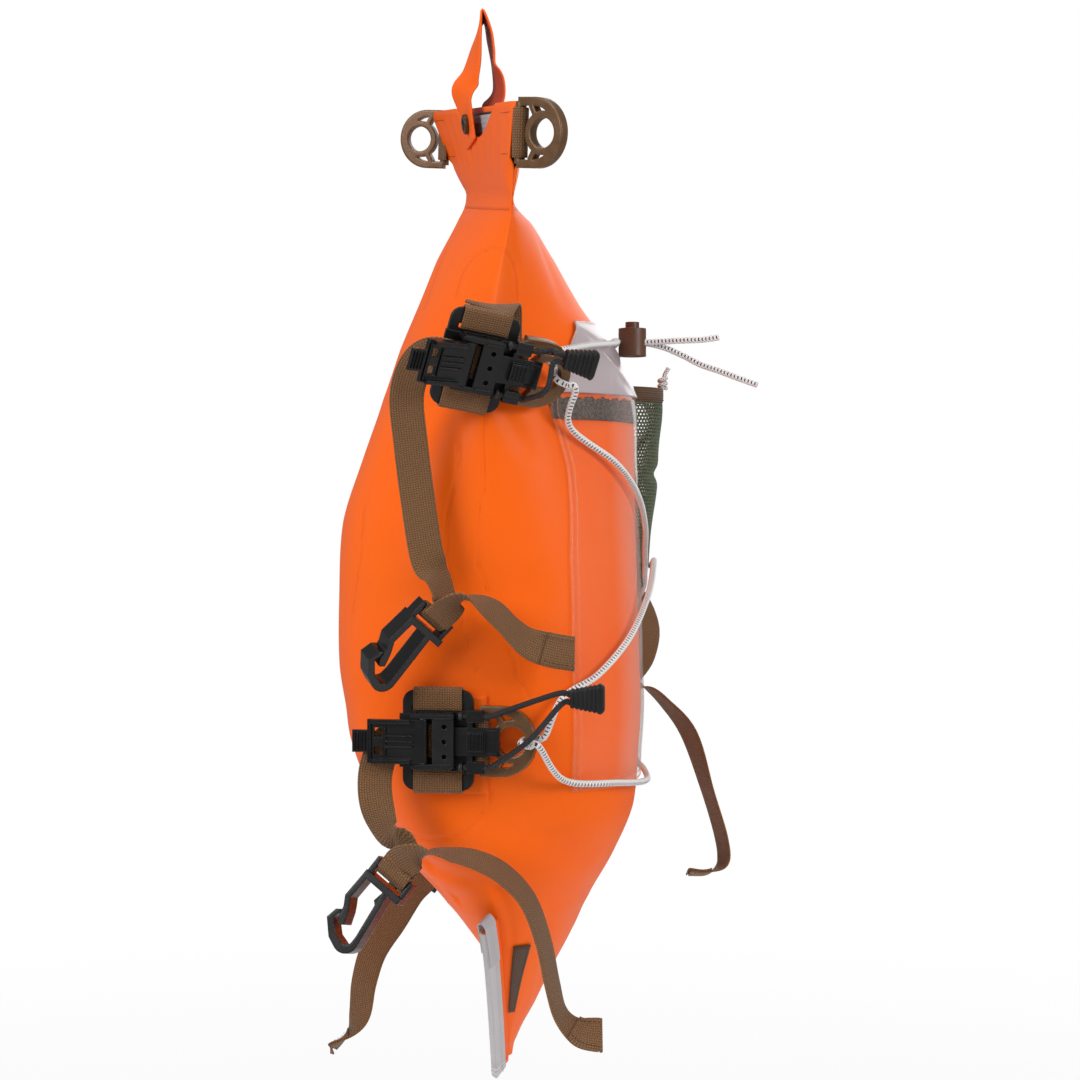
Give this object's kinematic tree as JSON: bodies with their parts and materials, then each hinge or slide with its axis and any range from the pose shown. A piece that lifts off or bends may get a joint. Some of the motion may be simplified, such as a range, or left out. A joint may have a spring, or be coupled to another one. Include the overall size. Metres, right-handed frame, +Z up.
{
  "type": "kayak deck dry bag",
  "caption": "Inflated dry bag hung by its pull loop, with a press-seal mouth, D rings, cam buckles, hooked webbing straps, elastic lacing, a map window and a mesh pocket.",
  "frame": {"origin": "the fold of the pull loop, where a hook carries the hanging bag", "axes": "+Z up, against gravity as the bag hangs; +X out of the top panel with the map window; -Y towards the near side buckles"},
  "size_m": [0.2928, 0.397, 0.708],
  "materials": {
    "orange_fabric": "satin, coated",
    "grey_tape": "matt, ribbed",
    "label_brown": "matt, bare",
    "seal_grey": "satin, ribbed",
    "rivet_brown": "satin",
    "webbing_brown": "matt, woven",
    "ring_brown": "satin",
    "clear_vinyl": "clear gloss",
    "milky_vinyl": "cloudy gloss",
    "mesh_green": "matt mesh",
    "pin_steel": "plain",
    "cord_black": "matt, braided",
    "cord_white": "matt, braided with black flecks",
    "black_nylon": "satin"
  },
  "bodies": {
    "bag": {"deck_panel": "orange_fabric", "top_panel": "orange_fabric", "bow_fin": "orange_fabric", "fin_binding": "grey_tape", "label_tab": "label_brown", "deck_skirt": "orange_fabric", "top_skirt": "orange_fabric", "deck_seal": "seal_grey", "top_seal": "seal_grey", "pull_loop": "orange_fabric", "loop_rivets": "rivet_brown", "mouth_keeper_near": "webbing_brown", "mouth_keeper_far": "webbing_brown", "map_window": "clear_vinyl", "map_flap": "milky_vinyl", "map_grip_strip": "grey_tape", "buckle_patches": "orange_fabric", "mesh_pocket": "mesh_green", "pocket_binding": "webbing_brown", "plates": "black_nylon", "plate_keepers": "webbing_brown", "buckle_frames": "black_nylon", "lever_pins": "pin_steel", "ring_keepers": "webbing_brown", "lacing_rings": "ring_brown", "straps": "webbing_brown", "tail_upper_near": "webbing_brown", "tail_upper_far": "webbing_brown", "tail_lower_near": "webbing_brown", "tail_lower_far": "webbing_brown", "shock_cord": "cord_white", "shock_tail_level": "cord_white", "shock_tail_low": "cord_white", "cord_lock": "ring_brown", "lock_spring": "pin_steel"},
    "mouth_ring_near": {"mouth_ring_near": "ring_brown"},
    "mouth_ring_far": {"mouth_ring_far": "ring_brown"},
    "lever_upper_near": {"cam_lever_upper_near": "black_nylon"},
    "release_upper_near": {"release_upper_near": "black_nylon", "rip_cord_upper_near": "cord_black", "rip_pull_upper_near": "black_nylon"},
    "hook_upper_near": {"hook_upper_near": "black_nylon"},
    "lever_upper_far": {"cam_lever_upper_far": "black_nylon"},
    "release_upper_far": {"release_upper_far": "black_nylon", "rip_cord_upper_far": "cord_black", "rip_pull_upper_far": "black_nylon"},
    "hook_upper_far": {"hook_upper_far": "black_nylon"},
    "lever_lower_near": {"cam_lever_lower_near": "black_nylon"},
    "release_lower_near": {"release_lower_near": "black_nylon", "rip_cord_lower_near": "cord_black", "rip_pull_lower_near": "black_nylon"},
    "hook_lower_near": {"hook_lower_near": "black_nylon"},
    "lever_lower_far": {"cam_lever_lower_far": "black_nylon"},
    "release_lower_far": {"release_lower_far": "black_nylon", "rip_cord_lower_far": "cord_black", "rip_pull_lower_far": "black_nylon"},
    "hook_lower_far": {"hook_lower_far": "black_nylon"},
    "plunger": {"lock_plunger": "ring_brown"}
  },
  "joints": [
    {"name": "mouth_ring_near_turn", "type": "hinge", "parent": "bag", "child": "mouth_ring_near", "pos_m": [0.02551, -0.1366, -0.10234], "axis": [0.0333, -0.1617, 0.9863], "range_deg": [-110, 30]},
    {"name": "mouth_ring_far_turn", "type": "hinge", "parent": "bag", "child": "mouth_ring_far", "pos_m": [-0.03074, 0.1366, -0.05566], "axis": [0.0333, -0.1617, 0.9863], "range_deg": [-130, 10]},
    {"name": "lever_upper_near_lift", "type": "hinge", "parent": "bag", "child": "lever_upper_near", "pos_m": [-0.00506, -0.16834, -0.23992], "axis": [0.2738, -0.3059, 0.9118], "range_deg": [-20, 50]},
    {"name": "release_upper_near_pull", "type": "slide", "parent": "bag", "child": "release_upper_near", "axis": [0.9254, 0.342, -0.1632], "range_m": [0, 0.01]},
    {"name": "hook_upper_near_swing", "type": "hinge", "parent": "bag", "child": "hook_upper_near", "pos_m": [-0.025, -0.158, -0.385], "axis": [0.5892, 0.5736, -0.569], "range_deg": [-40, 40]},
    {"name": "lever_upper_far_lift", "type": "hinge", "parent": "bag", "child": "lever_upper_far", "pos_m": [-0.00506, 0.16834, -0.23992], "axis": [-0.2738, -0.3059, -0.9118], "range_deg": [-20, 50]},
    {"name": "release_upper_far_pull", "type": "slide", "parent": "bag", "child": "release_upper_far", "axis": [0.9254, -0.342, -0.1632], "range_m": [0, 0.01]},
    {"name": "hook_upper_far_swing", "type": "hinge", "parent": "bag", "child": "hook_upper_far", "pos_m": [0.09, 0.16, -0.452], "axis": [-0.7198, 0.342, 0.604], "range_deg": [-40, 15]},
    {"name": "lever_lower_near_lift", "type": "hinge", "parent": "bag", "child": "lever_lower_near", "pos_m": [-0.0313, -0.15073, -0.458], "axis": [0, 0, 1], "range_deg": [0, 70]},
    {"name": "release_lower_near_pull", "type": "slide", "parent": "bag", "child": "release_lower_near", "axis": [0.9848, -0.1736, 0], "range_m": [0, 0.01]},
    {"name": "hook_lower_near_swing", "type": "hinge", "parent": "bag", "child": "hook_lower_near", "pos_m": [-0.047, -0.156, -0.535], "axis": [0.7494, -0.309, -0.5855], "range_deg": [-40, 40]},
    {"name": "lever_lower_far_lift", "type": "hinge", "parent": "bag", "child": "lever_lower_far", "pos_m": [-0.0313, 0.15073, -0.458], "axis": [0, 0, -1], "range_deg": [0, 70]},
    {"name": "release_lower_far_pull", "type": "slide", "parent": "bag", "child": "release_lower_far", "axis": [0.9848, 0.1736, 0], "range_m": [0, 0.01]},
    {"name": "hook_lower_far_swing", "type": "hinge", "parent": "bag", "child": "hook_lower_far", "pos_m": [-0.044, 0.154, -0.578], "axis": [-0.7494, -0.309, 0.5855], "range_deg": [-45, 0]},
    {"name": "plunger_press", "type": "slide", "parent": "bag", "child": "plunger", "axis": [0, 0, 1], "range_m": [-0.003, 0], "stiffness_N_per_m": 400, "springref_m": 0.002, "deforming": ["lock_spring"]}
  ]
}
